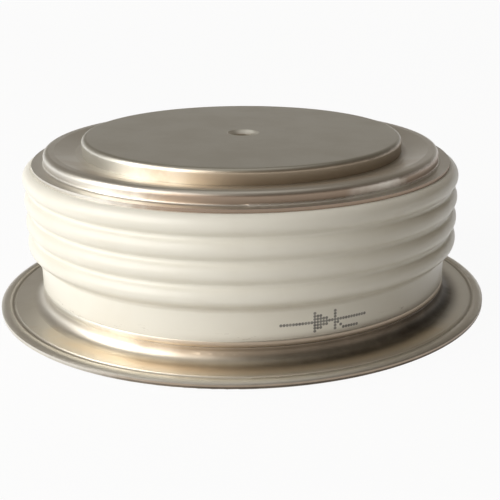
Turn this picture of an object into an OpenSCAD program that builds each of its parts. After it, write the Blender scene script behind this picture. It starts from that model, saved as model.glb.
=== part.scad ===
// Disc thyristor: a press-pack power semiconductor in a ribbed ceramic housing.
// Sizes are in millimetres. The origin is the centre of the cathode face, +Z runs up the axis
// to the anode face, and the gate comes out along +Y.

/* [Poles] */
// Diameter of the two pole faces
pole_d = 48; // [45:0.5:51]
// Height over the two pole faces
total_h = 26; // [25:0.5:30]
// Radius of the rounded edge of each pole face
face_edge_r = 0.7; // [0.4:0.1:0.8]
// Height of the anode face above the cap ring
anode_proud = 1.6; // [1.2:0.1:2.2]
// Depth of the cathode face below the lid flange
cathode_proud = 0.8; // [0.7:0.1:1.4]
// Width of the ledge on each pole that a sheet ring is brazed against
ledge_w = 0.7; // [0.4:0.1:1]
// Diameter of the centring hole in each pole face
centre_d = 3.6; // [3:0.1:4]
// Depth of the centring holes
centre_depth = 2.2; // [1.8:0.1:2.5]
// Bevel at the mouth of the centring holes
centre_bevel = 0.6; // [0.3:0.05:0.8]
// Copper left between the centring hole and the gate pocket
pocket_web = 0.7; // [0.6:0.1:0.9]
// Height of the raised contact on the cathode pole
contact_h = 0.4; // [0.3:0.1:0.6]
// Inset of the raised contact from the pole's edge
contact_inset = 1.7; // [1.2:0.1:2.2]
// Radius of the hidden edges of the poles
pole_break_r = 0.4; // [0.2:0.1:0.5]

/* [Insulator] */
// Gap between the poles and the bore of the ceramic
bore_gap = 1.8; // [1.2:0.1:2.4]
// Wall of the ceramic at its plain band
ceramic_wall = 4.6; // [4:0.1:5.5]
// Number of ribs
rib_count = 4; // [2:1:4]
// Height from one rib to the next
rib_pitch = 3.2; // [3:0.05:3.3]
// Radius of the round of a rib
rib_r = 1.5; // [1.4:0.05:1.6]
// Distance of the rib crests outside the plain band
rib_out = 1.65; // [1.4:0.05:1.9]
// Radius of the valley between two ribs
valley_r = 0.5; // [0.4:0.05:0.6]
// Radius of the sweep from the last rib to the plain band
rib_root_r = 1.2; // [0.8:0.1:1.4]
// Depth of the first rib's crest below the top of the ceramic
rib_drop = 1.45; // [1.3:0.05:1.5]
// Radius of the ceramic's lower edge
foot_edge_r = 0.3; // [0.1:0.05:0.4]

/* [Sheet rings] */
// Thickness of the sheet rings
sheet_t = 0.5; // [0.4:0.05:0.6]
// Inside radius of the tight bends
bend_r = 0.3; // [0.2:0.05:0.5]
// Height of the cap ring's shoulder above its foot
cap_rise = 1.8; // [1.2:0.1:2.2]
// Inset of the cap ring's shoulder from the plain band of the ceramic
cap_inset = 1.5; // [1:0.1:2]
// Width of the cap ring's foot
cap_foot_w = 1.7; // [1.2:0.05:1.9]
// Depth of the dish between the cap ring's shoulder and the pole
cap_dish = 0.6; // [0.2:0.05:0.8]
// Width of the flat beside the cap ring's shoulder
cap_flat_w = 1.6; // [1.2:0.1:2]
// Width of the weld flange outside the plain band
flange_w = 6.4; // [5.5:0.1:7]
// Height of the collar from the weld flange to the ceramic
collar_h = 2.7; // [2.5:0.1:3.2]
// Radius of the sweep from the collar to the weld flange
flare_r = 1.6; // [1.2:0.1:1.8]
// Distance of the seam groove from the rim
seam_inset = 1.7; // [1.5:0.1:2.1]
// Width of the seam groove
seam_w = 0.8; // [0.6:0.1:1]
// Depth of the seam groove
seam_depth = 0.22; // [0.1:0.02:0.3]
// Height of the bead outside the seam groove
bead_h = 0.12; // [0.05:0.01:0.2]
// Radius of the bead outside the seam groove
bead_r = 1.3; // [1.2:0.05:1.6]
// Distance of the bead's top from the rim
bead_inset = 0.9; // [0.7:0.05:1]
// Inside radius of the flexing bead in the lid flange
flex_r = 0.8; // [0.5:0.1:1]
// Distance of the flexing bead from the ledge of the cathode pole
flex_inset = 2.3; // [2:0.1:2.6]

/* [Wafer stack] */
// Thickness of the disc on the cathode side
cathode_disc_t = 1.8; // [1.4:0.1:2.2]
// Thickness of the wafer
wafer_t = 0.6; // [0.4:0.05:0.8]
// Thickness of the disc on the anode side
anode_disc_t = 2; // [1.5:0.1:2.5]
// Wall of the edge rubber outside the wafer
rubber_wall = 0.7; // [0.5:0.1:1]
// Width of the edge rubber's grip on the faces of the wafer
rubber_grip = 1; // [0.8:0.1:1.4]
// Thickness of the edge rubber on each face of the wafer
rubber_t = 0.5; // [0.3:0.1:0.6]
// Width of the wafer's bevel
wafer_bevel = 0.6; // [0.3:0.1:0.7]

/* [Gate] */
// Height of the gate's axis above the foot of the ceramic
gate_rise = 2.3; // [2.2:0.1:2.6]
// Diameter of the gate lead
lead_d = 0.8; // [0.6:0.1:1]
// Wall of the sleeve on the gate lead
sleeve_wall = 0.4; // [0.3:0.05:0.5]
// Length of gate lead past the far side of the pin
lead_tail = 0.4; // [0.2:0.1:0.6]
// Diameter of the gate tube in the ceramic
tube_d = 2.5; // [2.2:0.1:2.8]
// Diameter of the gate tube's nipple outside the seal ring
nipple_d = 2; // [1.8:0.1:2.1]
// Distance of the gate tube's end inside the rim of the flange
tube_back = 1.3; // [0.8:0.1:2]
// Depth of the gate tube's inner end in the wall of the ceramic
tube_sink = 0.3; // [0.1:0.1:0.6]
// Thickness of the nipple's closed end
tube_cap_t = 0.6; // [0.4:0.1:0.8]
// Radius of the nipple's closed end
tube_cap_r = 0.4; // [0.2:0.1:0.6]
// Width of the seal ring round the gate tube
seal_w = 0.7; // [0.6:0.1:0.9]
// Thickness of the seal ring
seal_t = 1; // [0.8:0.1:1.2]
// Depth of the seal ring's seat in the plain band
seal_sink = 0.6; // [0.4:0.1:0.7]
// Radius of the seal ring's edge
seal_edge_r = 0.3; // [0.1:0.05:0.4]
// Diameter of the gate pocket in the cathode pole
pocket_d = 7.2; // [6.8:0.1:8]
// Wall of the gate cup
cup_wall = 1; // [0.8:0.1:1.2]
// Floor of the gate cup
cup_floor = 0.5; // [0.4:0.1:0.7]
// Thickness of the gate guide's flange
guide_t = 0.4; // [0.3:0.05:0.5]
// Diameter of the gate hole in the cathode side disc
gate_hole_d = 5; // [4.4:0.1:5.4]
// Diameter of the gate pin's shank
pin_d = 2.4; // [2:0.1:2.6]
// Thickness of the gate pin's flange
pin_flange_t = 0.5; // [0.3:0.1:0.6]
// Copper between the gate pin's flange and its eye
pin_neck = 0.35; // [0.2:0.05:0.5]
// Diameter of the spigot that centres the gate spring
spigot_d = 1.8; // [1.4:0.1:2]
// Length of the spigot
spigot_h = 0.8; // [0.5:0.1:1]
// Diameter of the gate spring's wire
spring_wire_d = 0.5; // [0.4:0.05:0.6]
// Number of turns of the gate spring
spring_turns = 2.5; // [2:0.5:3]

/* [Fits] */
// Clearance of a brazed fit
braze_gap = 0.03; // [0.02:0.01:0.05]
// Clearance of a sliding fit
slide_gap = 0.1; // [0.05:0.01:0.15]
// Clearance of a loose fit
loose_gap = 0.3; // [0.2:0.05:0.4]

/* [Hidden] */
$fn = 144;

// How far a cutting shape runs past the face that it cuts
past = 1;
// How far a corner's sliver runs past the two sides that it fills or cuts
lap = 0.1;
// How far the round of a valley cuts into the round of the rib beside it
blend = 0.005;

// Radii from the axis outwards
pole_r = pole_d / 2;
ledge_r = pole_r + ledge_w;
contact_r = pole_r - contact_inset;
bore_r = ledge_r + bore_gap;
band_r = bore_r + ceramic_wall;
crest_r = band_r + rib_out;
rib_axis_r = crest_r - rib_r;
valley_axis_r = rib_axis_r + sqrt(pow(rib_r + valley_r, 2) - pow(rib_pitch / 2, 2));
rib_root_axis_r = band_r + rib_root_r;
cap_r = band_r - cap_inset;
cap_foot_r = cap_r + cap_foot_w;
cap_lip_r = ledge_r + loose_gap;
cap_bend_r = min(bend_r, (cap_rise - sheet_t) * 0.45);
flange_r = band_r + flange_w;
seam_r = flange_r - seam_inset;
seam_out_r = seam_r + seam_w / 2;
seam_round_r = (seam_w * seam_w / 4 + seam_depth * seam_depth) / (2 * seam_depth);
flex_axis_r = ledge_r + flex_inset;
rubber_out_r = bore_r - loose_gap;
wafer_r = rubber_out_r - rubber_wall;
rubber_in_r = wafer_r - rubber_grip;
anode_disc_r = rubber_in_r - loose_gap;

// Radii of the gate's pieces
lead_r = lead_d / 2;
lead_hole_r = lead_r + slide_gap;
sleeve_r = lead_hole_r + sleeve_wall;
slot_r = sleeve_r + slide_gap;
tube_r = tube_d / 2;
nipple_r = nipple_d / 2;
seal_r = tube_r + seal_w;
pocket_r = pocket_d / 2;
cup_r = pocket_r - slide_gap;
cup_in_r = cup_r - cup_wall;
pin_r = pin_d / 2;
pin_flange_r = cup_in_r - slide_gap;
guide_neck_r = gate_hole_d / 2 - slide_gap;
spring_wire_r = spring_wire_d / 2;
spring_r = spigot_d / 2 + loose_gap + spring_wire_r;

// Heights of the housing, from the cathode face upwards
weld_z = cathode_proud + sheet_t;
flange_z = weld_z + sheet_t;
ceramic_z = flange_z + collar_h;
cap_z = total_h - anode_proud;
cap_in_z = cap_z - cap_dish;
cap_foot_z = cap_z - cap_rise;
ceramic_top_z = cap_foot_z - sheet_t;
first_crest_z = ceramic_top_z - rib_drop;
last_crest_z = first_crest_z - (rib_count - 1) * rib_pitch;
rib_root_z = last_crest_z - sqrt(pow(rib_r + rib_root_r, 2) - pow(rib_root_axis_r - rib_axis_r, 2));

// Heights of the gate and the wafer stack
gate_z = ceramic_z + gate_rise;
shoulder_z = gate_z + slot_r;
cathode_h = shoulder_z + contact_h;
wafer_z = cathode_h + cathode_disc_t;
wafer_top_z = wafer_z + wafer_t;
anode_z = wafer_top_z + anode_disc_t;
rubber_z = wafer_z - rubber_t;
pocket_z = centre_depth + pocket_web;
cup_floor_z = pocket_z + cup_floor;
guide_z = cathode_h - guide_t;
pin_flange_z = gate_z - lead_hole_r - pin_neck - pin_flange_t;

// Distances along the gate's axis
seal_y = band_r - seal_sink;
tube_in_y = bore_r + tube_sink;
tube_out_y = flange_r - tube_back;
sleeve_in_y = pocket_r + slide_gap;

// Finishes
nickel = "#b3aea2";
ceramic_white = "#efece2";
moly_grey = "#8d8f93";
silicon_grey = "#5b6068";
rubber_red = "#9b5a48";
insulator_white = "#e6e2d6";
silver = "#c9c7c0";

// The sliver between a square corner and the round of radius r that touches both its sides.
// side points from the corner to the round's centre: take it off an edge or add it in a corner.
module corner(at, r, side) {
    translate(at) difference() {
        translate(side * (r - lap) / 2) square(r + lap, center = true);
        translate(side * r) circle(r);
    }
}

// A rectangle of the section from radius r0 to r1 and height z0 to z1
module band(r0, r1, z0, z1) {
    translate([r0, z0]) square([r1 - r0, z1 - z0]);
}

// Lays what is drawn along +Z on the gate's axis, which runs along +Y
module along_gate() {
    translate([0, 0, gate_z]) rotate([-90, 0, 0]) children();
}

// The centring hole, bored up from height 0
module centre_hole() {
    translate([0, 0, -past]) cylinder(d = centre_d, h = centre_depth + past);
    translate([0, 0, -past])
        cylinder(d1 = centre_d + 2 * (centre_bevel + past), d2 = centre_d, h = centre_bevel + past);
}

// Section of the welded rim of one sheet, lying on height 0 with its groove upwards
module rim_section(inner_r) {
    difference() {
        band(inner_r, seam_out_r, 0, sheet_t);
        translate([seam_r, sheet_t - seam_depth + seam_round_r]) circle(seam_round_r);
    }
    intersection() {
        band(seam_out_r, flange_r, 0, sheet_t + bead_h);
        translate([flange_r - bead_inset, sheet_t + bead_h - bead_r]) circle(bead_r);
    }
}

// Section of the wafer, with the bevel towards the cathode side
module wafer_section() {
    polygon([[0, wafer_z], [wafer_r - wafer_bevel, wafer_z], [wafer_r, wafer_top_z], [0, wafer_top_z]]);
}

module anode_pole() {
    color(nickel) difference() {
        rotate_extrude() difference() {
            union() {
                band(0, ledge_r, anode_z, cap_in_z - sheet_t);
                band(0, pole_r, anode_z, total_h);
            }
            corner([pole_r, total_h], face_edge_r, [-1, -1]);
            corner([ledge_r, anode_z], pole_break_r, [-1, 1]);
        }
        translate([0, 0, total_h]) mirror([0, 0, 1]) centre_hole();
    }
}

module cap_ring() {
    color(nickel) rotate_extrude() difference() {
        union() {
            polygon([
                [pole_r + braze_gap, cap_in_z - sheet_t], [cap_lip_r, cap_in_z - sheet_t],
                [cap_r - cap_flat_w, cap_z - sheet_t], [cap_r - sheet_t, cap_z - sheet_t],
                [cap_r - sheet_t, ceramic_top_z], [cap_foot_r, ceramic_top_z],
                [cap_foot_r, cap_foot_z], [cap_r, cap_foot_z],
                [cap_r, cap_z], [cap_r - cap_flat_w, cap_z],
                [cap_lip_r, cap_in_z], [pole_r + braze_gap, cap_in_z]
            ]);
            corner([cap_r, cap_foot_z], cap_bend_r, [1, 1]);
            corner([cap_r - sheet_t, cap_z - sheet_t], cap_bend_r, [-1, -1]);
        }
        corner([cap_r, cap_z], cap_bend_r + sheet_t, [-1, -1]);
        corner([cap_r - sheet_t, ceramic_top_z], cap_bend_r + sheet_t, [1, 1]);
    }
}

// Centre of the round of a rib in the section, counted from the top
function rib_axis(i) = [rib_axis_r, first_crest_z - i * rib_pitch];

// Section of the ribs, the valleys between them and the sweep to the plain band
module rib_section() {
    last = rib_count - 1;
    valleys = [for (i = [0 : last - 1]) [valley_axis_r, first_crest_z - (i + 0.5) * rib_pitch]];
    root = [rib_root_axis_r, rib_root_z];
    difference() {
        union() {
            band(bore_r, rib_axis_r + lap, last_crest_z, ceramic_top_z);
            intersection() {
                band(bore_r, crest_r + past, ceramic_z, ceramic_top_z);
                for (i = [0 : last]) translate(rib_axis(i)) circle(rib_r);
            }
            for (i = [0 : last - 1]) polygon([rib_axis(i), rib_axis(i + 1), valleys[i]]);
            polygon([rib_axis(last), [band_r - lap, rib_root_z], root]);
        }
        for (at = valleys) translate(at) circle(valley_r + blend);
        translate(root) circle(rib_root_r + blend);
    }
}

module ceramic_insulator() {
    color(ceramic_white) difference() {
        rotate_extrude() difference() {
            union() {
                band(bore_r, band_r, ceramic_z, ceramic_top_z);
                rib_section();
            }
            corner([band_r, ceramic_z], foot_edge_r, [-1, 1]);
        }
        along_gate() cylinder(r = tube_r + braze_gap, h = crest_r + past);
        along_gate() translate([0, 0, seal_y]) cylinder(r = seal_r + braze_gap, h = crest_r);
    }
}

module housing_flange() {
    color(nickel) rotate_extrude() difference() {
        union() {
            band(bore_r + loose_gap, band_r, ceramic_z - sheet_t, ceramic_z);
            band(band_r - sheet_t, band_r, weld_z, ceramic_z);
            translate([0, weld_z]) rim_section(band_r - sheet_t);
            corner([band_r, flange_z], flare_r, [1, 1]);
            corner([band_r - sheet_t, ceramic_z - sheet_t], bend_r, [-1, -1]);
        }
        corner([band_r, ceramic_z], bend_r + sheet_t, [-1, -1]);
        corner([band_r - sheet_t, weld_z], flare_r + sheet_t, [1, 1]);
    }
}

module lid_flange() {
    color(nickel) rotate_extrude() difference() {
        union() {
            translate([0, weld_z]) mirror([0, 1]) rim_section(pole_r + braze_gap);
            intersection() {
                translate([flex_axis_r, cathode_proud]) circle(flex_r + sheet_t);
                band(pole_r, flange_r, cathode_proud, ceramic_z);
            }
        }
        translate([flex_axis_r, cathode_proud]) circle(flex_r);
    }
}

module cathode_pole() {
    color(nickel) difference() {
        rotate_extrude() difference() {
            union() {
                band(0, pole_r, 0, shoulder_z);
                band(0, ledge_r, weld_z, shoulder_z);
                band(0, contact_r, 0, cathode_h);
            }
            corner([pole_r, 0], face_edge_r, [-1, 1]);
            corner([ledge_r, shoulder_z], pole_break_r, [-1, -1]);
        }
        centre_hole();
        translate([0, 0, pocket_z]) cylinder(r = pocket_r, h = cathode_h);
        along_gate() cylinder(r = slot_r, h = ledge_r + past);
        translate([-slot_r, 0, gate_z]) cube([2 * slot_r, ledge_r + past, cathode_h]);
    }
}

module cathode_moly_disc() {
    color(moly_grey) difference() {
        translate([0, 0, cathode_h]) cylinder(r = contact_r, h = cathode_disc_t);
        translate([0, 0, cathode_h - past]) cylinder(d = gate_hole_d, h = cathode_disc_t + 2 * past);
    }
}

module silicon_wafer() {
    color(silicon_grey) rotate_extrude() wafer_section();
}

module wafer_edge_rubber() {
    color(rubber_red) rotate_extrude() difference() {
        band(rubber_in_r, rubber_out_r, rubber_z, wafer_top_z + rubber_t);
        wafer_section();
    }
}

module anode_moly_disc() {
    color(moly_grey) translate([0, 0, wafer_top_z]) cylinder(r = anode_disc_r, h = anode_disc_t);
}

module locating_ring() {
    color(insulator_white)
        rotate_extrude() band(contact_r + slide_gap, rubber_out_r, shoulder_z, rubber_z - slide_gap);
}

module gate_cup() {
    color(insulator_white) difference() {
        translate([0, 0, pocket_z]) cylinder(r = cup_r, h = guide_z - pocket_z);
        translate([0, 0, cup_floor_z]) cylinder(r = cup_in_r, h = cathode_h);
        along_gate() cylinder(r = lead_hole_r, h = pocket_r);
        translate([-lead_hole_r, 0, gate_z]) cube([2 * lead_hole_r, pocket_r, cathode_h]);
    }
}

// Centre of the spring's wire at a turn t, and one point of the wire's round at angle a
function spring_axis(t) = [
    spring_r * cos(360 * t), spring_r * sin(360 * t),
    cup_floor_z + spring_wire_r
        + (pin_flange_z - cup_floor_z - spring_wire_d) * t / spring_turns
];
function spring_point(t, a) = spring_axis(t) + spring_wire_r * [
    cos(a) * cos(360 * t), cos(a) * sin(360 * t), sin(a)
];

module gate_spring() {
    sides = 8;
    steps = 24 * spring_turns;
    points = [
        for (i = [0 : steps], j = [0 : sides - 1])
            spring_point(spring_turns * i / steps, 360 * j / sides)
    ];
    walls = [
        for (i = [0 : steps - 1], j = [0 : sides - 1])
            let (k = (j + 1) % sides)
                [i * sides + j, (i + 1) * sides + j, (i + 1) * sides + k, i * sides + k]
    ];
    first_end = [for (j = [0 : sides - 1]) j];
    last_end = [for (j = [sides - 1 : -1 : 0]) steps * sides + j];
    color(silver) polyhedron(points, concat(walls, [first_end, last_end]));
}

module gate_pin() {
    color(silver) difference() {
        union() {
            translate([0, 0, pin_flange_z - spigot_h]) cylinder(d = spigot_d, h = spigot_h);
            translate([0, 0, pin_flange_z]) cylinder(r = pin_flange_r, h = pin_flange_t);
            translate([0, 0, pin_flange_z]) cylinder(r = pin_r, h = wafer_z - pin_flange_z);
        }
        along_gate() translate([0, 0, -pocket_r]) cylinder(r = lead_hole_r, h = pocket_d);
    }
}

module gate_guide() {
    color(insulator_white) difference() {
        union() {
            translate([0, 0, guide_z]) cylinder(r = cup_r, h = guide_t);
            translate([0, 0, guide_z]) cylinder(r = guide_neck_r, h = wafer_z - guide_z - loose_gap);
        }
        translate([0, 0, guide_z - past]) cylinder(r = pin_r + slide_gap, h = wafer_z);
    }
}

module gate_lead() {
    color(silver) along_gate() translate([0, 0, -pin_r - lead_tail])
        cylinder(r = lead_r, h = pin_r + lead_tail + tube_out_y - tube_cap_t);
}

module gate_lead_sleeve() {
    color(insulator_white) along_gate() difference() {
        translate([0, 0, sleeve_in_y]) cylinder(r = sleeve_r, h = bore_r - sleeve_in_y);
        cylinder(r = lead_hole_r, h = bore_r + past);
    }
}

module gate_tube() {
    color(nickel) along_gate() rotate_extrude() difference() {
        union() {
            band(0, tube_r, tube_in_y, seal_y + seal_t);
            band(0, nipple_r, tube_in_y, tube_out_y);
        }
        band(0, lead_hole_r, tube_in_y - past, tube_out_y - tube_cap_t);
        corner([nipple_r, tube_out_y], tube_cap_r, [-1, -1]);
    }
}

module gate_seal_ring() {
    color(nickel) along_gate() rotate_extrude() difference() {
        band(tube_r + braze_gap, seal_r, seal_y, seal_y + seal_t);
        corner([seal_r, seal_y + seal_t], seal_edge_r, [-1, -1]);
    }
}

anode_pole();
cap_ring();
ceramic_insulator();
housing_flange();
lid_flange();
cathode_pole();
cathode_moly_disc();
silicon_wafer();
wafer_edge_rubber();
anode_moly_disc();
locating_ring();
gate_cup();
gate_spring();
gate_pin();
gate_guide();
gate_lead();
gate_lead_sleeve();
gate_tube();
gate_seal_ring();
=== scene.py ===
"""Looks, floor, light and camera for the disc thyristor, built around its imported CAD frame."""

from __future__ import annotations

import logging
import math
from dataclasses import dataclass
from enum import Enum
from typing import Any, Union

import bpy
from mathutils import Matrix, Vector


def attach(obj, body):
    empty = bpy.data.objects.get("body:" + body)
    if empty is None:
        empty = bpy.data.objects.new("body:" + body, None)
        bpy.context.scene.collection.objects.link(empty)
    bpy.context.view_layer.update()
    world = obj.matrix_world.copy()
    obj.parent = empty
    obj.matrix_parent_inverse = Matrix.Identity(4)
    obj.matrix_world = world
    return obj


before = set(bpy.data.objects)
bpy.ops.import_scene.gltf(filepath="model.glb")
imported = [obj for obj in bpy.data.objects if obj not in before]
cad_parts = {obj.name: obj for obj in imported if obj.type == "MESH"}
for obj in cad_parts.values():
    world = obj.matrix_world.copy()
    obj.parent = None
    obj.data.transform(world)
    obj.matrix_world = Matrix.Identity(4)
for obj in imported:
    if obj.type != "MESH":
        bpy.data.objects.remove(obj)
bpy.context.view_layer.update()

LOG = logging.getLogger("disc_thyristor")
BODY = "root"
MM = 0.001
FULL_TURN = 2.0 * math.pi
NOISE_MEAN = 0.5

Colour = tuple[float, float, float]
Place = tuple[float, float, float]
Pair = tuple[float, float]
Number = Union[float, "Value"]


class Value:
    """A number in a shader tree, whose operators add Math nodes."""

    def __init__(self, tree: ShaderTree, socket: bpy.types.NodeSocket) -> None:
        """Keep the tree and the output socket that holds the number."""
        self.tree = tree
        self.socket = socket

    def __add__(self, other: Number) -> Value:
        """Add a number."""
        return self.tree.math("ADD", self, other)

    def __radd__(self, other: Number) -> Value:
        """Add to a number."""
        return self.tree.math("ADD", other, self)

    def __sub__(self, other: Number) -> Value:
        """Take a number away."""
        return self.tree.math("SUBTRACT", self, other)

    def __rsub__(self, other: Number) -> Value:
        """Take this away from a number."""
        return self.tree.math("SUBTRACT", other, self)

    def __mul__(self, other: Number) -> Value:
        """Multiply by a number."""
        return self.tree.math("MULTIPLY", self, other)

    def __rmul__(self, other: Number) -> Value:
        """Multiply a number by this."""
        return self.tree.math("MULTIPLY", other, self)

    def __truediv__(self, other: Number) -> Value:
        """Divide by a number."""
        return self.tree.math("DIVIDE", self, other)

    def __rtruediv__(self, other: Number) -> Value:
        """Divide a number by this."""
        return self.tree.math("DIVIDE", other, self)

    def __abs__(self) -> Value:
        """Drop the sign."""
        return self.tree.math("ABSOLUTE", self)

    def __lt__(self, other: Number) -> Value:
        """Give 1 where this is below a number, and 0 elsewhere."""
        return self.tree.math("LESS_THAN", self, other)

    def __gt__(self, other: Number) -> Value:
        """Give 1 where this is above a number, and 0 elsewhere."""
        return self.tree.math("GREATER_THAN", self, other)

    def root(self) -> Value:
        """Take the square root."""
        return self.tree.math("SQRT", self)

    def beside(self, other: Value) -> Value:
        """Give the length of the slanted side over two square sides."""
        return (self * self + other * other).root()

    def floor(self) -> Value:
        """Round down to a whole number."""
        return self.tree.math("FLOOR", self)

    def most(self, other: Number) -> Value:
        """Take the larger of two numbers."""
        return self.tree.math("MAXIMUM", self, other)

    def rise(self, low: float, high: float) -> Value:
        """Ease from 0 at low to 1 at high.

        Args:
            low: The number that gives 0.
            high: The number that gives 1, which may be the smaller one.

        Returns:
            The eased number, kept between 0 and 1.
        """
        settings = {"interpolation_type": "SMOOTHSTEP"}
        node = self.tree.node("ShaderNodeMapRange", settings, {0: self, 1: low, 2: high})
        return Value(self.tree, node.outputs[0])

    def near(self, middle: float, reach: float) -> Value:
        """Give 1 at a middle number, easing to 0 at a reach on both sides."""
        return abs(self - middle).rise(reach, 0.0)

    def between(self, low: float, high: float) -> Value:
        """Stretch a number from 0 to 1 over low to high."""
        return self * (high - low) + low


class ShaderTree:
    """A material's node tree, and the nodes that are added to it."""

    def __init__(self, name: str) -> None:
        """Make an empty material.

        Args:
            name: The material's name.
        """
        self.material = bpy.data.materials.new(name)
        self.material.use_nodes = True
        self.tree = self.material.node_tree
        self.tree.nodes.clear()
        self.out = self.node("ShaderNodeOutputMaterial")

    def node(
        self,
        kind: str,
        settings: dict[str, Any] | None = None,
        inputs: dict[int | str, Any] | None = None,
    ) -> bpy.types.Node:
        """Add a node.

        Args:
            kind: The node's type.
            settings: Its own settings, which are set first.
            inputs: A value or a link for each socket, by name or place.

        Returns:
            The new node.
        """
        node = self.tree.nodes.new(kind)
        for name, value in (settings or {}).items():
            setattr(node, name, value)
        for key, value in (inputs or {}).items():
            if isinstance(value, Value):
                value = value.socket
            if isinstance(value, bpy.types.NodeSocket):
                self.tree.links.new(value, node.inputs[key])
            else:
                node.inputs[key].default_value = value
        return node

    def math(self, operation: str, *values: Number) -> Value:
        """Add a Math node on numbers or sockets and return its result."""
        node = self.node("ShaderNodeMath", {"operation": operation}, dict(enumerate(values)))
        return Value(self, node.outputs[0])

    def point(self) -> bpy.types.NodeSocket:
        """Give the place on the object in millimetres of the part's frame."""
        place = self.node("ShaderNodeTexCoord").outputs["Object"]
        scale = {0: place, "Scale": 1.0 / MM}
        return self.node("ShaderNodeVectorMath", {"operation": "SCALE"}, scale).outputs[0]

    def level(self) -> Value:
        """Give how level the surface is: 1 on flat faces and 0 on upright ones."""
        normal = self.node("ShaderNodeTexCoord").outputs["Normal"]
        return abs(self.split(normal)[2])

    def split(self, vector: bpy.types.NodeSocket) -> tuple[Value, Value, Value]:
        """Split a vector into its three numbers."""
        node = self.node("ShaderNodeSeparateXYZ", inputs={0: vector})
        return tuple(Value(self, socket) for socket in node.outputs)

    def join(self, x: Number, y: Number, z: Number) -> bpy.types.NodeSocket:
        """Join three numbers into a vector."""
        return self.node("ShaderNodeCombineXYZ", inputs={0: x, 1: y, 2: z}).outputs[0]

    def noise(
        self, vector: bpy.types.NodeSocket, scale: float, detail: float, rough: float
    ) -> Value:
        """Add cloudy noise.

        Args:
            vector: Where the noise is read, usually in millimetres.
            scale: Blobs per unit of the vector.
            detail: How many finer layers are added.
            rough: How strong each finer layer is.

        Returns:
            The noise, about 0.5 on average.
        """
        inputs = {"Vector": vector, "Scale": scale, "Detail": detail, "Roughness": rough}
        return Value(self, self.node("ShaderNodeTexNoise", inputs=inputs).outputs[0])

    def mix(self, factor: Number, low: Any, high: Any) -> bpy.types.NodeSocket:
        """Mix two colours.

        Args:
            factor: 0 for the first colour and 1 for the second.
            low: The first colour, as numbers or a link.
            high: The second colour, as numbers or a link.

        Returns:
            The mixed colour.
        """
        ends = [c if isinstance(c, bpy.types.NodeSocket) else (*c, 1.0) for c in (low, high)]
        inputs = {0: factor, 6: ends[0], 7: ends[1]}
        return self.node("ShaderNodeMix", {"data_type": "RGBA"}, inputs).outputs[2]

    def bump(
        self,
        height: Value,
        strength: float,
        depth_mm: float,
        under: bpy.types.NodeSocket | None = None,
    ) -> bpy.types.NodeSocket:
        """Turn a height into a normal.

        Args:
            height: The height, from 0 to 1.
            strength: How much of the bump shows.
            depth_mm: How deep a height of 1 is.
            under: The normal of another bump that this one lies on.

        Returns:
            The bumped normal.
        """
        inputs = {"Strength": strength, "Distance": depth_mm * MM, "Height": height}
        if under is not None:
            inputs["Normal"] = under
        return self.node("ShaderNodeBump", inputs=inputs).outputs[0]

    def surface(self, **inputs: Any) -> bpy.types.Material:
        """Finish the material with a Principled shader.

        Args:
            **inputs: Values or links of the shader's sockets, with _ for a space.

        Returns:
            The finished material.
        """
        named = {name.replace("_", " "): value for name, value in inputs.items()}
        shader = self.node("ShaderNodeBsdfPrincipled", inputs=named)
        self.tree.links.new(shader.outputs[0], self.out.inputs[0])
        return self.material


@dataclass(frozen=True)
class Cloud:
    """Cloudy noise of one size, which may be eased between two of its levels."""

    scale: float
    detail: float
    rough: float = 0.5
    levels: Pair | None = None

    def over(self, tree: ShaderTree, place: bpy.types.NodeSocket) -> Value:
        """Lay the noise over a surface.

        Args:
            tree: The material's tree.
            place: Where the noise is read, usually in millimetres.

        Returns:
            The noise, about 0.5 on average, or from 0 to 1 where it is eased.
        """
        noise = tree.noise(place, self.scale, self.detail, self.rough)
        return noise.rise(*self.levels) if self.levels else noise


class Grain(Enum):
    """How a metal surface was worked."""

    TURNED = "turned on a lathe"
    STAMPED = "pressed from rolled sheet"
    LAPPED = "lapped flat"


@dataclass(frozen=True)
class Side:
    """One side of the part, towards which painted shade, painted highlights and stains grow
    strongest.
    """

    across: float
    front: float
    ragged_mm: float = 5.0

    def along(self, x: Value, y: Value, cloud: Value) -> Value:
        """Measure how far towards this side a place lies.

        Args:
            x: The first place number in millimetres.
            y: The second place number.
            cloud: Cloudy noise that breaks up the edge of each mark.

        Returns:
            The distance in millimetres, below 0 on the far side.
        """
        return x * self.across - y * self.front + cloud * self.ragged_mm


# The shaded side faces right and front, away from the window lamp. The corner and end sides carry
# painted shade by the collar, the glint side a painted glint on the cap band, the right side a
# painted highlight, and the front side painted reflections.
SHADED_SIDE = Side(0.9, 0.45)
CORNER = Side(0.75, 0.66, 1.5)
END = Side(0.9, 0.43, 1.5)
FRONT = Side(0.0, 1.0)
GLINT_SIDE = Side(0.616, 0.788, 0.3)
RIGHT = Side(0.96, -0.28, 3.0)

# How far towards its side a mark begins and is full, in millimetres.
ALL_ROUND = (-90.0, -80.0)
# The span over which painted shade and painted dark reflections fade in towards the shaded side.
SHADE_SPAN = (-6.0, 8.0)


@dataclass(frozen=True)
class RingMark:
    """A ring of painted shade, painted highlight, painted reflection or oxide round the part's
    axis, all round or on one side.
    """

    radius_mm: float
    reach_mm: float
    strength: float
    colour: Colour
    begins_full_mm: Pair = ALL_ROUND
    side: Side = SHADED_SIDE
    patchy: Pair = (0.75, 1.25)

    def mask(self, x: Value, y: Value, cloud: Value, patch: Value) -> Value:
        """Find where the ring lies.

        Args:
            x: The first place number in millimetres.
            y: The second place number.
            cloud: Cloudy noise that breaks up the ring's ends.
            patch: Finer noise that breaks up the ring.

        Returns:
            0 on clean metal, rising to the ring's own strength.
        """
        ring = x.beside(y).near(self.radius_mm, self.reach_mm) * patch.between(*self.patchy)
        share = self.side.along(x, y, cloud).rise(*self.begins_full_mm)
        return ring * share * self.strength


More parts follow.
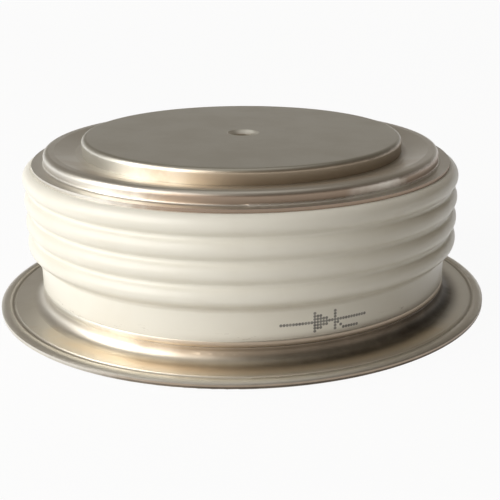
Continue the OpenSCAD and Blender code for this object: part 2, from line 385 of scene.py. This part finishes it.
# A surface counts as level above the first of these and as upright below the second.
UPRIGHT = (0.85, 0.2)
TARNISH_CLOUD = Cloud(0.16, 4.0, 0.6, (0.35, 0.7))
STAIN_PATCH = Cloud(0.35, 3.0, 0.6)
SHEET_WAVE = Cloud(0.1, 0.0)
BEAD_DENTS = Cloud(0.8, 0.0, levels=(0.35, 0.7))

# Tool marks: the noise of each, and how its place numbers are stretched before it is read.
TURNED_LINES, TURNED_PER_MM, TURNED_ROUND = Cloud(1.0, 2.0), 8.0, 4.0
LAPPED_GRIT = Cloud(7.0, 3.0, 0.7)
ROLLED_LINES, ROLLED_STRETCH = Cloud(1.0, 4.0, 0.6), (1.1, 2.6, 1.6)
SCUFFS, SCUFF_ALONG, SCUFF_ACROSS = Cloud(1.0, 1.0, levels=(0.66, 0.8)), 0.15, 4.0
SCUFF_TURNS = (0.4, 1.5, 2.6)


@dataclass(frozen=True)
class PlatedMetal:
    """Nickel or silver plating, or bare metal, with the marks of its making and its age, and with
    painted shade, painted highlights and painted dark reflections in its colour.
    """

    name: str
    colour: Colour
    tarnish: Colour
    roughness: float
    grain: Grain
    # Painted dark reflection: the colour and share that upright faces take on towards the shaded
    # side.
    painted_reflection_tint: Colour = (0.50, 0.40, 0.30)
    painted_reflection_share: float = 0.0
    # Rings of painted shade, painted highlights, painted reflections and oxide.
    ring_marks: tuple[RingMark, ...] = ()
    mottle: float = 0.3
    cloud_rough: float = 0.04
    grain_rough: float = 0.04
    scuff_rough: float = 0.03
    ring_mark_rough: float = 0.05
    grain_strength: float = 0.25
    grain_depth_mm: float = 0.001
    wave_depth_mm: float = 0.0
    dented_mm: Pair | None = None
    dent_strength: float = 0.5
    dent_depth_mm: float = 0.03

    def material(self) -> bpy.types.Material:
        """Build the material of this finish."""
        tree = ShaderTree(self.name)
        place = tree.point()
        x, y, _ = tree.split(place)
        radius = x.beside(y)
        upright = tree.level().rise(*UPRIGHT)
        cloud = TARNISH_CLOUD.over(tree, place)
        patch = STAIN_PATCH.over(tree, place)
        lines = self.lines(tree, place, radius)
        scuff = self.scuffs(tree, x, y) * (1.0 - upright)
        colour = tree.mix(cloud * self.mottle, self.colour, self.tarnish)
        # Painted dark reflection: upright faces turn darker and browner towards the shaded side.
        painted_reflection = upright * SHADED_SIDE.along(x, y, cloud).rise(*SHADE_SPAN) * self.painted_reflection_share
        colour = tree.mix(painted_reflection, colour, self.painted_reflection_tint)
        rough = self.roughness + (cloud - NOISE_MEAN) * self.cloud_rough
        rough = rough + (lines - NOISE_MEAN) * self.grain_rough + scuff * self.scuff_rough
        # Each ring lays painted shade, a painted highlight, a painted reflection or oxide into the
        # colour, and roughens it a little.
        for ring in self.ring_marks:
            stain_and_painted_light = ring.mask(x, y, cloud, patch)
            colour = tree.mix(stain_and_painted_light, colour, ring.colour)
            rough = rough + stain_and_painted_light * self.ring_mark_rough
        normal = tree.bump(lines, self.grain_strength, self.grain_depth_mm)
        if self.wave_depth_mm:
            wave = SHEET_WAVE.over(tree, place)
            normal = tree.bump(wave, 1.0, self.wave_depth_mm, normal)
        if self.dented_mm:
            inner, outer = self.dented_mm
            bead = radius.near((inner + outer) / 2.0, (outer - inner) / 2.0)
            dents = bead * BEAD_DENTS.over(tree, place)
            normal = tree.bump(dents, self.dent_strength, self.dent_depth_mm, normal)
        return tree.surface(Base_Color=colour, Metallic=1.0, Roughness=rough, Normal=normal)

    def lines(self, tree: ShaderTree, place: bpy.types.NodeSocket, radius: Value) -> Value:
        """Make the grain that the tool left.

        Args:
            tree: The material's tree.
            place: The place in millimetres.
            radius: The distance from the axis in millimetres.

        Returns:
            The height of the grain, about 0.5 on average.
        """
        x, y, z = tree.split(place)
        if self.grain is Grain.TURNED:
            turn = x / radius * TURNED_ROUND
            ringed = tree.join(radius * TURNED_PER_MM, z * TURNED_PER_MM, turn)
            return TURNED_LINES.over(tree, ringed)
        if self.grain is Grain.LAPPED:
            return LAPPED_GRIT.over(tree, place)
        across, along, up = ROLLED_STRETCH
        return ROLLED_LINES.over(tree, tree.join(x * across, y * along, z * up))

    def scuffs(self, tree: ShaderTree, x: Value, y: Value) -> Value:
        """Scatter faint scuffs in three directions over the flat faces.

        Args:
            tree: The material's tree.
            x: The first place number in millimetres.
            y: The second place number.

        Returns:
            1 on a scuff and 0 elsewhere.
        """
        total: Value | None = None
        for turn in SCUFF_TURNS:
            along = x * math.cos(turn) + y * math.sin(turn)
            across = y * math.cos(turn) - x * math.sin(turn)
            drawn = tree.join(along * SCUFF_ALONG, across * SCUFF_ACROSS, turn)
            streak = SCUFFS.over(tree, drawn)
            total = streak if total is None else total.most(streak)
        return total


HALF_CELL = 0.5


@dataclass(frozen=True)
class InkSign:
    """The circuit sign of a thyristor, printed in dots on the plain band."""

    turn_deg: float = 19.0
    height_mm: float = 6.75
    band_mm: float = 31.1
    skin_mm: float = 0.1
    pitch_mm: float = 0.42
    dot_mm: float = 0.21
    blur_cells: float = 0.1
    half_rows: float = 3.0
    slope_cells: float = 2.0
    lead_mm: float = 6.3
    lead_gap_cells: float = 0.4

    def mask(self, tree: ShaderTree, x: Value, y: Value, z: Value) -> Value:
        """Find where the ink lies.

        Args:
            tree: The material's tree.
            x: The first place number in millimetres.
            y: The second place number.
            z: The third place number.

        Returns:
            1 on the ink and 0 on the bare band.
        """
        turn = tree.math("ARCTAN2", x, 0.0 - y) - math.radians(self.turn_deg)
        along = turn * (self.band_mm / self.pitch_mm)
        up = (z - self.height_mm) / self.pitch_mm
        column = (along + HALF_CELL).floor()
        row = (up + HALF_CELL).floor()
        edge = self.dot_mm / self.pitch_mm
        gap = (along - column).beside(up - row)
        dot = gap.rise(edge + self.blur_cells, edge - self.blur_cells)
        reach = self.half_rows + HALF_CELL
        arrow = (column + abs(row) * self.slope_cells < reach) * (column > -reach)
        past_bar = column - (self.half_rows + 1.0)
        bar = abs(past_bar) < HALF_CELL
        slant = (abs(row + past_bar) < HALF_CELL) * (past_bar > HALF_CELL)
        tail = abs(past_bar - self.half_rows * 2.0) < self.half_rows
        gate = slant.most(tail * (abs(row + self.half_rows) < HALF_CELL))
        out = abs(column - HALF_CELL)
        leads = (out < self.lead_mm / self.pitch_mm) * (out > self.half_rows + self.lead_gap_cells)
        body = arrow.most(bar).most(gate) * (abs(row) < reach)
        sign = body.most(leads * (abs(row) < HALF_CELL))
        return sign * dot * (x.beside(y) < self.band_mm + self.skin_mm)


GLAZE_CLOUD = Cloud(0.12, 3.0, 0.55)
GLAZE_PEEL = Cloud(0.9, 2.0)
GLAZE_WAVE = Cloud(0.22, 1.0)
FOOT_PATCH, FOOT_STRETCH = Cloud(1.0, 4.0, 0.65), (0.4, 1.5)


@dataclass(frozen=True)
class GlazedCeramic:
    """White glazed alumina with brown staining and painted shade at its foot, stronger on the
    shaded side, and a few smudges.
    """

    name: str = "glazed_alumina"
    colour: Colour = (0.84, 0.817, 0.735)
    warm: Colour = (0.775, 0.735, 0.635)
    stain_and_painted_light: Colour = (0.28, 0.22, 0.16)
    ink: Colour = (0.07, 0.066, 0.066)
    roughness: float = 0.33
    warm_levels: Pair = (0.4, 0.75)
    warm_share: float = 0.4
    foot_mm: float = 4.5
    # Foot darkening, part brown staining and part painted shade: its heights, its spread towards
    # the shaded side, its share and its patchiness.
    stain_and_shade_over_mm: Pair = (1.3, 0.1)
    shade_side_mm: Pair = (2.0, 30.0)
    stain_and_shade_share: Pair = (0.1, 1.0)
    stain_and_shade_patchy: Pair = (0.4, 0.9)
    smudge_over_mm: Pair = (1.9, 0.5)
    smudge_levels: Pair = (0.6, 0.68)
    smudge_share: float = 0.6
    ink_cover: Pair = (0.5, 1.0)
    dirt_and_shade_rough: float = 0.2
    ink_rough: float = 0.15
    peel_rough: float = 0.06
    peel_share: float = 0.4
    wave_share: float = 0.6
    bump_strength: float = 0.25
    bump_depth_mm: float = 0.06
    sign: InkSign = InkSign()

    def low(self, z: Value, over_mm: Pair) -> Value:
        """Ease from 0 to 1 between two heights over the foot, going down."""
        return z.rise(self.foot_mm + over_mm[0], self.foot_mm + over_mm[1])

    def material(self) -> bpy.types.Material:
        """Build the material of this finish."""
        tree = ShaderTree(self.name)
        place = tree.point()
        x, y, z = tree.split(place)
        cloud = GLAZE_CLOUD.over(tree, place)
        peel = GLAZE_PEEL.over(tree, place)
        wave = GLAZE_WAVE.over(tree, place)
        across, up = FOOT_STRETCH
        patch = FOOT_PATCH.over(tree, tree.join(x * across, y * across, z * up))
        warmth = cloud.rise(*self.warm_levels) * self.warm_share
        colour = tree.mix(warmth, self.colour, self.warm)
        # Foot darkening: brown staining and painted shade, faint on the lit side and full on the
        # shaded side.
        shaded_side = SHADED_SIDE.along(x, y, cloud).rise(*self.shade_side_mm).between(*self.stain_and_shade_share)
        foot = self.low(z, self.stain_and_shade_over_mm) * patch.between(*self.stain_and_shade_patchy) * shaded_side
        smudge = self.low(z, self.smudge_over_mm) * patch.rise(*self.smudge_levels)
        dirt_and_shade = foot.most(smudge * self.smudge_share)
        colour = tree.mix(dirt_and_shade, colour, self.stain_and_painted_light)
        ink = self.sign.mask(tree, x, y, z) * peel.between(*self.ink_cover)
        colour = tree.mix(ink, colour, self.ink)
        rough = self.roughness + dirt_and_shade * self.dirt_and_shade_rough + ink * self.ink_rough
        height = peel * self.peel_share + wave * self.wave_share
        return tree.surface(
            Base_Color=colour,
            Roughness=rough + (peel - NOISE_MEAN) * self.peel_rough,
            Normal=tree.bump(height, self.bump_strength, self.bump_depth_mm),
        )


MOULD_CLOUD = Cloud(0.3, 3.0, levels=(0.3, 0.8))


@dataclass(frozen=True)
class PlainFinish:
    """A moulded, cast or lapped piece that isn't plated."""

    name: str
    colour: Colour
    shade: Colour
    roughness: float
    grain_mm: float = 0.6
    grain_detail: float = 3.0
    grain_layers: float = 0.6
    cloud_share: float = 0.7
    grain_share: float = 0.2
    grain_rough: float = 0.15
    bump_strength: float = 0.3
    bump_depth_mm: float = 0.01

    def material(self) -> bpy.types.Material:
        """Build the material of this finish."""
        tree = ShaderTree(self.name)
        place = tree.point()
        cloud = MOULD_CLOUD.over(tree, place)
        grain = Cloud(1.0 / self.grain_mm, self.grain_detail, self.grain_layers).over(tree, place)
        shade = cloud * self.cloud_share + grain * self.grain_share
        return tree.surface(
            Base_Color=tree.mix(shade, self.colour, self.shade),
            Roughness=self.roughness + (grain - NOISE_MEAN) * self.grain_rough,
            Normal=tree.bump(grain, self.bump_strength, self.bump_depth_mm),
        )


# Painted warm highlight on the front of the flange by the collar.
PAINTED_WARM_HIGHLIGHT = (0.84, 0.70, 0.51)
# Painted brown reflection on the front of the cap.
PAINTED_BROWN_REFLECTION = (0.55, 0.445, 0.32)
# Oxide, and painted shade in the creases at the poles' feet, by the collar and in the grooves.
OXIDE_AND_SHADE = (0.20, 0.155, 0.105)
# Painted shade: the pole's rim, the flange and braze by the collar, and the rim's edge, all on the
# shaded side.
PAINTED_SHADE = (0.05, 0.04, 0.03)
# Painted highlights and glints: the pole's rim towards the lamp, the bevel of the centre hole, a
# spot on the cap band and the right of the flange.
PAINTED_HIGHLIGHT = (0.92, 0.90, 0.83)
POLE_NICKEL = PlatedMetal(
    "pole_nickel", (0.66, 0.637, 0.565), (0.57, 0.537, 0.46), 0.4, Grain.TURNED,
    # Painted dark reflection on the pole's upright side.
    painted_reflection_tint=(0.54, 0.435, 0.32), painted_reflection_share=0.9,
    ring_marks=(
        # Painted highlight on the rim towards the lamp, painted shade on the rim on the shaded
        # side, and a painted glint on the bevel of the centre hole.
        RingMark(24.0, 0.5, 0.45, PAINTED_HIGHLIGHT, (4.0, -4.0)),
        RingMark(24.0, 0.6, 0.35, PAINTED_SHADE, (6.0, 30.0)),
        RingMark(2.15, 0.5, 0.9, PAINTED_HIGHLIGHT),
    ),
)
CAP_NICKEL = PlatedMetal(
    "cap_nickel", (0.80, 0.77, 0.705), (0.70, 0.66, 0.585), 0.4, Grain.STAMPED,
    # Painted dark reflection on the upright band.
    painted_reflection_tint=(0.28, 0.195, 0.135), painted_reflection_share=0.9, wave_depth_mm=0.03,
    ring_marks=(
        # Painted shade at the pole's foot, a painted brown reflection on the front, and a painted
        # glint on the band.
        RingMark(24.2, 0.9, 0.35, OXIDE_AND_SHADE, SHADE_SPAN),
        RingMark(26.5, 3.4, 0.75, PAINTED_BROWN_REFLECTION, (8.0, 28.0), FRONT),
        RingMark(29.7, 0.5, 0.7, PAINTED_HIGHLIGHT, (29.2, 29.9), GLINT_SIDE),
    ),
)
FLANGE_NICKEL = PlatedMetal(
    "flange_nickel", (0.79, 0.755, 0.68), (0.66, 0.61, 0.52), 0.42, Grain.STAMPED,
    # Painted dark reflection on the upright collar.
    painted_reflection_tint=(0.51, 0.40, 0.30), painted_reflection_share=0.9, wave_depth_mm=0.03, dented_mm=(36.2, 37.5),
    ring_marks=(
        # A painted warm highlight on the front, painted shade by the collar and towards the shaded
        # corner and end, a painted highlight on the right, a darker groove, and painted shade on
        # the rim's shaded edge.
        RingMark(33.4, 2.9, 0.8, PAINTED_WARM_HIGHLIGHT, (16.0, 26.0), FRONT),
        RingMark(31.1, 3.2, 0.4, OXIDE_AND_SHADE, SHADE_SPAN),
        RingMark(32.1, 2.7, 0.75, PAINTED_SHADE, (16.0, 31.0), CORNER),
        RingMark(31.4, 1.5, 0.7, PAINTED_SHADE, (26.0, 32.0), END),
        RingMark(34.8, 2.4, 0.9, PAINTED_HIGHLIGHT, (22.0, 33.0), RIGHT),
        RingMark(35.8, 0.35, 0.5, OXIDE_AND_SHADE),
        RingMark(37.7, 0.5, 0.65, PAINTED_SHADE, (-20.0, 20.0)),
    ),
)
LID_NICKEL = PlatedMetal(
    "lid_nickel", (0.74, 0.70, 0.62), (0.60, 0.55, 0.46), 0.42, Grain.STAMPED,
    # Painted dark reflection on the upright faces.
    painted_reflection_tint=(0.36, 0.285, 0.21), painted_reflection_share=0.9, wave_depth_mm=0.03,
    ring_marks=(
        # Painted shade round the pole's foot, a darker groove, and painted shade on the rim's
        # shaded edge.
        RingMark(24.2, 1.0, 0.5, OXIDE_AND_SHADE),
        RingMark(35.8, 0.35, 0.4, OXIDE_AND_SHADE),
        RingMark(37.6, 0.6, 0.9, PAINTED_SHADE, (-20.0, 20.0)),
    ),
)
BRAZE_ALLOY = PlatedMetal(
    "braze_alloy", (0.82, 0.79, 0.71), (0.72, 0.67, 0.57), 0.45, Grain.LAPPED,
    # Painted dark reflection on the upright braze, and painted shade towards the shaded corner.
    painted_reflection_tint=(0.50, 0.40, 0.30), painted_reflection_share=0.9,
    ring_marks=(RingMark(31.0, 3.0, 0.25, PAINTED_SHADE, (18.0, 32.0), CORNER),),
)
GATE_NICKEL = PlatedMetal(
    "gate_nickel", (0.70, 0.665, 0.59), (0.58, 0.53, 0.45), 0.28, Grain.LAPPED
)
SILVER_PLATE = PlatedMetal(
    "silver_plate", (0.78, 0.77, 0.74), (0.62, 0.58, 0.5), 0.25, Grain.LAPPED
)
MOLYBDENUM = PlatedMetal(
    "lapped_molybdenum", (0.42, 0.42, 0.44), (0.33, 0.33, 0.35), 0.4, Grain.LAPPED
)
ALUMINA = GlazedCeramic()
SILICON = PlainFinish("metallised_silicon", (0.16, 0.165, 0.19), (0.1, 0.105, 0.125), 0.25, 0.3)
EDGE_RUBBER = PlainFinish("edge_rubber", (0.36, 0.11, 0.07), (0.25, 0.07, 0.045), 0.6)
WHITE_PLASTIC = PlainFinish("white_plastic", (0.78, 0.76, 0.70), (0.66, 0.63, 0.56), 0.45)

Finish = Union[PlatedMetal, GlazedCeramic, PlainFinish]


class Assembly:
    """A group of the part's CAD nodes, each in its own finish."""

    def finishes(self) -> dict[str, Finish]:
        """Give the finish of each node of the group."""
        raise NotImplementedError

    def build(self) -> None:
        """Give each node of the group the material of its finish."""
        made: dict[str, bpy.types.Material] = {}
        for node, finish in self.finishes().items():
            if finish.name not in made:
                made[finish.name] = finish.material()
            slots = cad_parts[node].data.materials
            slots.clear()
            slots.append(made[finish.name])
            LOG.info("%s: %s in %s", type(self).__name__, node, finish.name)


@dataclass(frozen=True)
class Poles(Assembly):
    """The two turned copper poles."""

    nickel: PlatedMetal = POLE_NICKEL

    def finishes(self) -> dict[str, Finish]:
        """Give the finish of each pole."""
        return {"anode_pole": self.nickel, "cathode_pole": self.nickel}


@dataclass(frozen=True)
class Insulator(Assembly):
    """The ribbed ceramic, with the rounded run of braze between its foot and the collar."""

    ceramic: GlazedCeramic = ALUMINA
    braze: PlatedMetal = BRAZE_ALLOY
    radius_mm: float = 31.09
    bulge_mm: float = 0.06
    top_mm: float = 4.74
    foot_mm: float = 3.85
    back_mm: Pair = (30.5, 4.45)
    steps: int = 8
    sides: int = 288

    def finishes(self) -> dict[str, Finish]:
        """Give the finish of the ceramic."""
        return {"ceramic_insulator": self.ceramic}

    def build(self) -> None:
        """Dress the ceramic and lay the braze at its foot."""
        super().build()
        self.lay_braze()

    def section(self) -> list[Pair]:
        """Give the radius and height of the braze's corners, down the front and round the back."""
        corners = []
        for step in range(self.steps + 1):
            share = step / self.steps
            swell = self.bulge_mm * math.sin(math.pi * share)
            height = self.top_mm + (self.foot_mm - self.top_mm) * share
            corners.append((self.radius_mm + swell, height))
        return corners + [self.back_mm]

    def lay_braze(self) -> None:
        """Turn the section round the axis and dress the ring."""
        section = self.section()
        count = len(section)
        points, faces = [], []
        for side in range(self.sides):
            turn = FULL_TURN * side / self.sides
            across, front = math.cos(turn) * MM, math.sin(turn) * MM
            points += [(radius * across, radius * front, z * MM) for radius, z in section]
            here, there = side * count, (side + 1) % self.sides * count
            for corner in range(count):
                after = (corner + 1) % count
                faces.append((here + corner, here + after, there + after, there + corner))
        mesh = bpy.data.meshes.new("braze_fillet")
        mesh.from_pydata(points, [], faces)
        mesh.polygons.foreach_set("use_smooth", [True] * len(faces))
        mesh.materials.append(self.braze.material())
        ring = bpy.data.objects.new("braze_fillet", mesh)
        bpy.context.scene.collection.objects.link(ring)
        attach(ring, BODY)
        LOG.info("%s: %s in %s", type(self).__name__, ring.name, self.braze.name)


@dataclass(frozen=True)
class SheetRings(Assembly):
    """The three stamped sheet rings that close the housing."""

    cap: PlatedMetal = CAP_NICKEL
    flange: PlatedMetal = FLANGE_NICKEL
    lid: PlatedMetal = LID_NICKEL

    def finishes(self) -> dict[str, Finish]:
        """Give the finish of each ring."""
        return {"cap_ring": self.cap, "housing_flange": self.flange, "lid_flange": self.lid}


@dataclass(frozen=True)
class WaferStack(Assembly):
    """The wafer with its rim, between two expansion discs."""

    disc: PlatedMetal = MOLYBDENUM
    wafer: PlainFinish = SILICON
    rim: PlainFinish = EDGE_RUBBER
    ring: PlainFinish = WHITE_PLASTIC

    def finishes(self) -> dict[str, Finish]:
        """Give the finish of each piece of the stack."""
        return {
            "cathode_moly_disc": self.disc,
            "anode_moly_disc": self.disc,
            "silicon_wafer": self.wafer,
            "wafer_edge_rubber": self.rim,
            "locating_ring": self.ring,
        }


@dataclass(frozen=True)
class GateContact(Assembly):
    """The sprung gate pin, its lead and the tube that the lead leaves by."""

    plastic: PlainFinish = WHITE_PLASTIC
    silver: PlatedMetal = SILVER_PLATE
    nickel: PlatedMetal = GATE_NICKEL

    def finishes(self) -> dict[str, Finish]:
        """Give the finish of each piece of the contact."""
        return {
            "gate_cup": self.plastic,
            "gate_guide": self.plastic,
            "gate_lead_sleeve": self.plastic,
            "gate_spring": self.silver,
            "gate_pin": self.silver,
            "gate_lead": self.silver,
            "gate_tube": self.nickel,
            "gate_seal_ring": self.nickel,
        }


@dataclass(frozen=True)
class Floor:
    """The pale floor, in metres, which sweeps up all round and keeps the object's shadow."""

    flat: float = 2.6
    sweep: float = 0.4
    top: float = 0.45
    gap: float = 0.00002
    sides: int = 96
    steps: int = 10
    colour: Colour = (0.75, 0.74, 0.72)
    lift: float = 0.94

    def section(self) -> list[Pair]:
        """Give the radius and height of the rim's corners, from the flat to the top."""
        corners = []
        for step in range(self.steps + 1):
            bend = math.pi / 2.0 * step / self.steps
            out, up = self.sweep * math.sin(bend), self.sweep * (1.0 - math.cos(bend))
            corners.append((self.flat + out, up))
        return corners + [(self.flat + self.sweep, self.top)]

    def build(self) -> None:
        """Lay the floor under the part and raise its rim."""
        section = self.section()
        points, faces = [(0.0, 0.0, -self.gap)], []
        count = len(section)
        for side in range(self.sides):
            turn = FULL_TURN * side / self.sides
            across, front = math.cos(turn), math.sin(turn)
            points += [(across * r, front * r, z - self.gap) for r, z in section]
            here, there = 1 + side * count, 1 + (side + 1) % self.sides * count
            faces.append((0, here, there))
            for i in range(count - 1):
                faces.append((here + i, here + i + 1, there + i + 1, there + i))
        mesh = bpy.data.meshes.new("floor")
        mesh.from_pydata(points, [], faces)
        mesh.polygons.foreach_set("use_smooth", [True] * len(faces))
        floor = bpy.data.objects.new("floor", mesh)
        bpy.context.scene.collection.objects.link(floor)
        tree = ShaderTree("floor_white")
        path = tree.node("ShaderNodeLightPath").outputs
        seen = Value(tree, path["Is Camera Ray"]).most(Value(tree, path["Is Glossy Ray"]))
        seen = seen.most(Value(tree, path["Is Transmission Ray"]))
        paint = tree.node("ShaderNodeBsdfDiffuse", inputs={"Color": (*self.colour, 1.0)})
        glow = tree.node("ShaderNodeEmission", inputs={"Strength": 1.0})
        shaders = {0: seen * self.lift, 1: paint.outputs[0], 2: glow.outputs[0]}
        mixed = tree.node("ShaderNodeMixShader", inputs=shaders)
        tree.tree.links.new(mixed.outputs[0], tree.out.inputs[0])
        mesh.materials.append(tree.material)


@dataclass(frozen=True)
class Softbox:
    """One soft lamp, in metres and watts, aimed at the middle of the part."""

    name: str
    place: Place
    size: Pair
    power: float
    colour: Colour
    mirrored: bool = True
    aim: Place = (0.0, 0.0, 0.013)

    def build(self) -> None:
        """Hang the lamp."""
        lamp = bpy.data.lights.new(self.name, "AREA")
        lamp.shape = "RECTANGLE"
        lamp.size, lamp.size_y = self.size
        lamp.energy = self.power
        lamp.color = self.colour
        holder = bpy.data.objects.new(self.name, lamp)
        holder.visible_camera = False
        holder.visible_glossy = self.mirrored
        bpy.context.scene.collection.objects.link(holder)
        holder.location = self.place
        direction = Vector(self.aim) - Vector(self.place)
        holder.rotation_euler = direction.to_track_quat("-Z", "Y").to_euler()


LAMPS = (
    Softbox("window", (-0.411, -0.228, 0.21), (0.55, 0.42), 3.0, (1.0, 0.99, 0.965)),
    Softbox("back", (0.0, 0.95, 0.32), (1.4, 0.6), 0.27, (1.0, 0.985, 0.94)),
    Softbox("fill", (-0.15, 0.8, 0.3), (0.7, 0.5), 1.4, (1.0, 0.985, 0.95), mirrored=False),
    Softbox("ceiling", (0.0, 0.05, 1.2), (1.0, 1.0), 1.0, (1.0, 0.99, 0.97)),
)


@dataclass(frozen=True)
class Studio:
    """Even room light and the soft lamps."""

    colour: Colour = (0.156, 0.138, 0.115)
    lamps: tuple[Softbox, ...] = LAMPS

    def build(self) -> None:
        """Set the room's light and the view transform, and hang the lamps."""
        scene = bpy.context.scene
        scene.view_settings.view_transform = "Standard"
        scene.world = bpy.data.worlds.new("room")
        scene.world.use_nodes = True
        room = scene.world.node_tree.nodes["Background"]
        room.inputs["Color"].default_value = (*self.colour, 1.0)
        room.inputs["Strength"].default_value = 1.0
        for lamp in self.lamps:
            lamp.build()


@dataclass(frozen=True)
class PhotoCamera:
    """The camera, where the photograph was taken from."""

    back: float = 0.15139
    height: float = 0.05597
    pitch_deg: float = 20.983
    yaw_deg: float = 4.813
    roll_deg: float = 0.628
    focal_mm: float = 71.95
    sensor_mm: float = 36.0
    shift: Pair = (-0.15, 0.11)
    clip_from: float = 0.01

    def build(self) -> None:
        """Place the camera and make it the scene's own."""
        angles = (self.pitch_deg, self.yaw_deg, self.roll_deg)
        pitch, yaw, roll = (math.radians(angle) for angle in angles)
        flat = math.cos(pitch)
        forward = Vector((math.sin(yaw) * flat, math.cos(yaw) * flat, -math.sin(pitch)))
        level = forward.cross(Vector((0.0, 0.0, 1.0))).normalized()
        steep = level.cross(forward)
        right = level * math.cos(roll) + steep * math.sin(roll)
        up = steep * math.cos(roll) - level * math.sin(roll)
        data = bpy.data.cameras.new("camera")
        data.lens = self.focal_mm
        data.sensor_width = self.sensor_mm
        data.shift_x, data.shift_y = self.shift
        data.clip_start = self.clip_from
        camera = bpy.data.objects.new("camera", data)
        turn = Matrix((right, up, -forward)).transposed().to_4x4()
        camera.matrix_world = Matrix.Translation((0.0, -self.back, self.height)) @ turn
        bpy.context.scene.collection.objects.link(camera)
        bpy.context.scene.camera = camera


def main() -> None:
    """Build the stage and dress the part."""
    logging.basicConfig(level=logging.INFO, format="%(name)s: %(message)s")
    for item in (PhotoCamera(), Floor(), Studio()):
        item.build()
    for group in (Poles(), Insulator(), SheetRings(), WaferStack(), GateContact()):
        group.build()


if __name__ == "__main__":
    main()
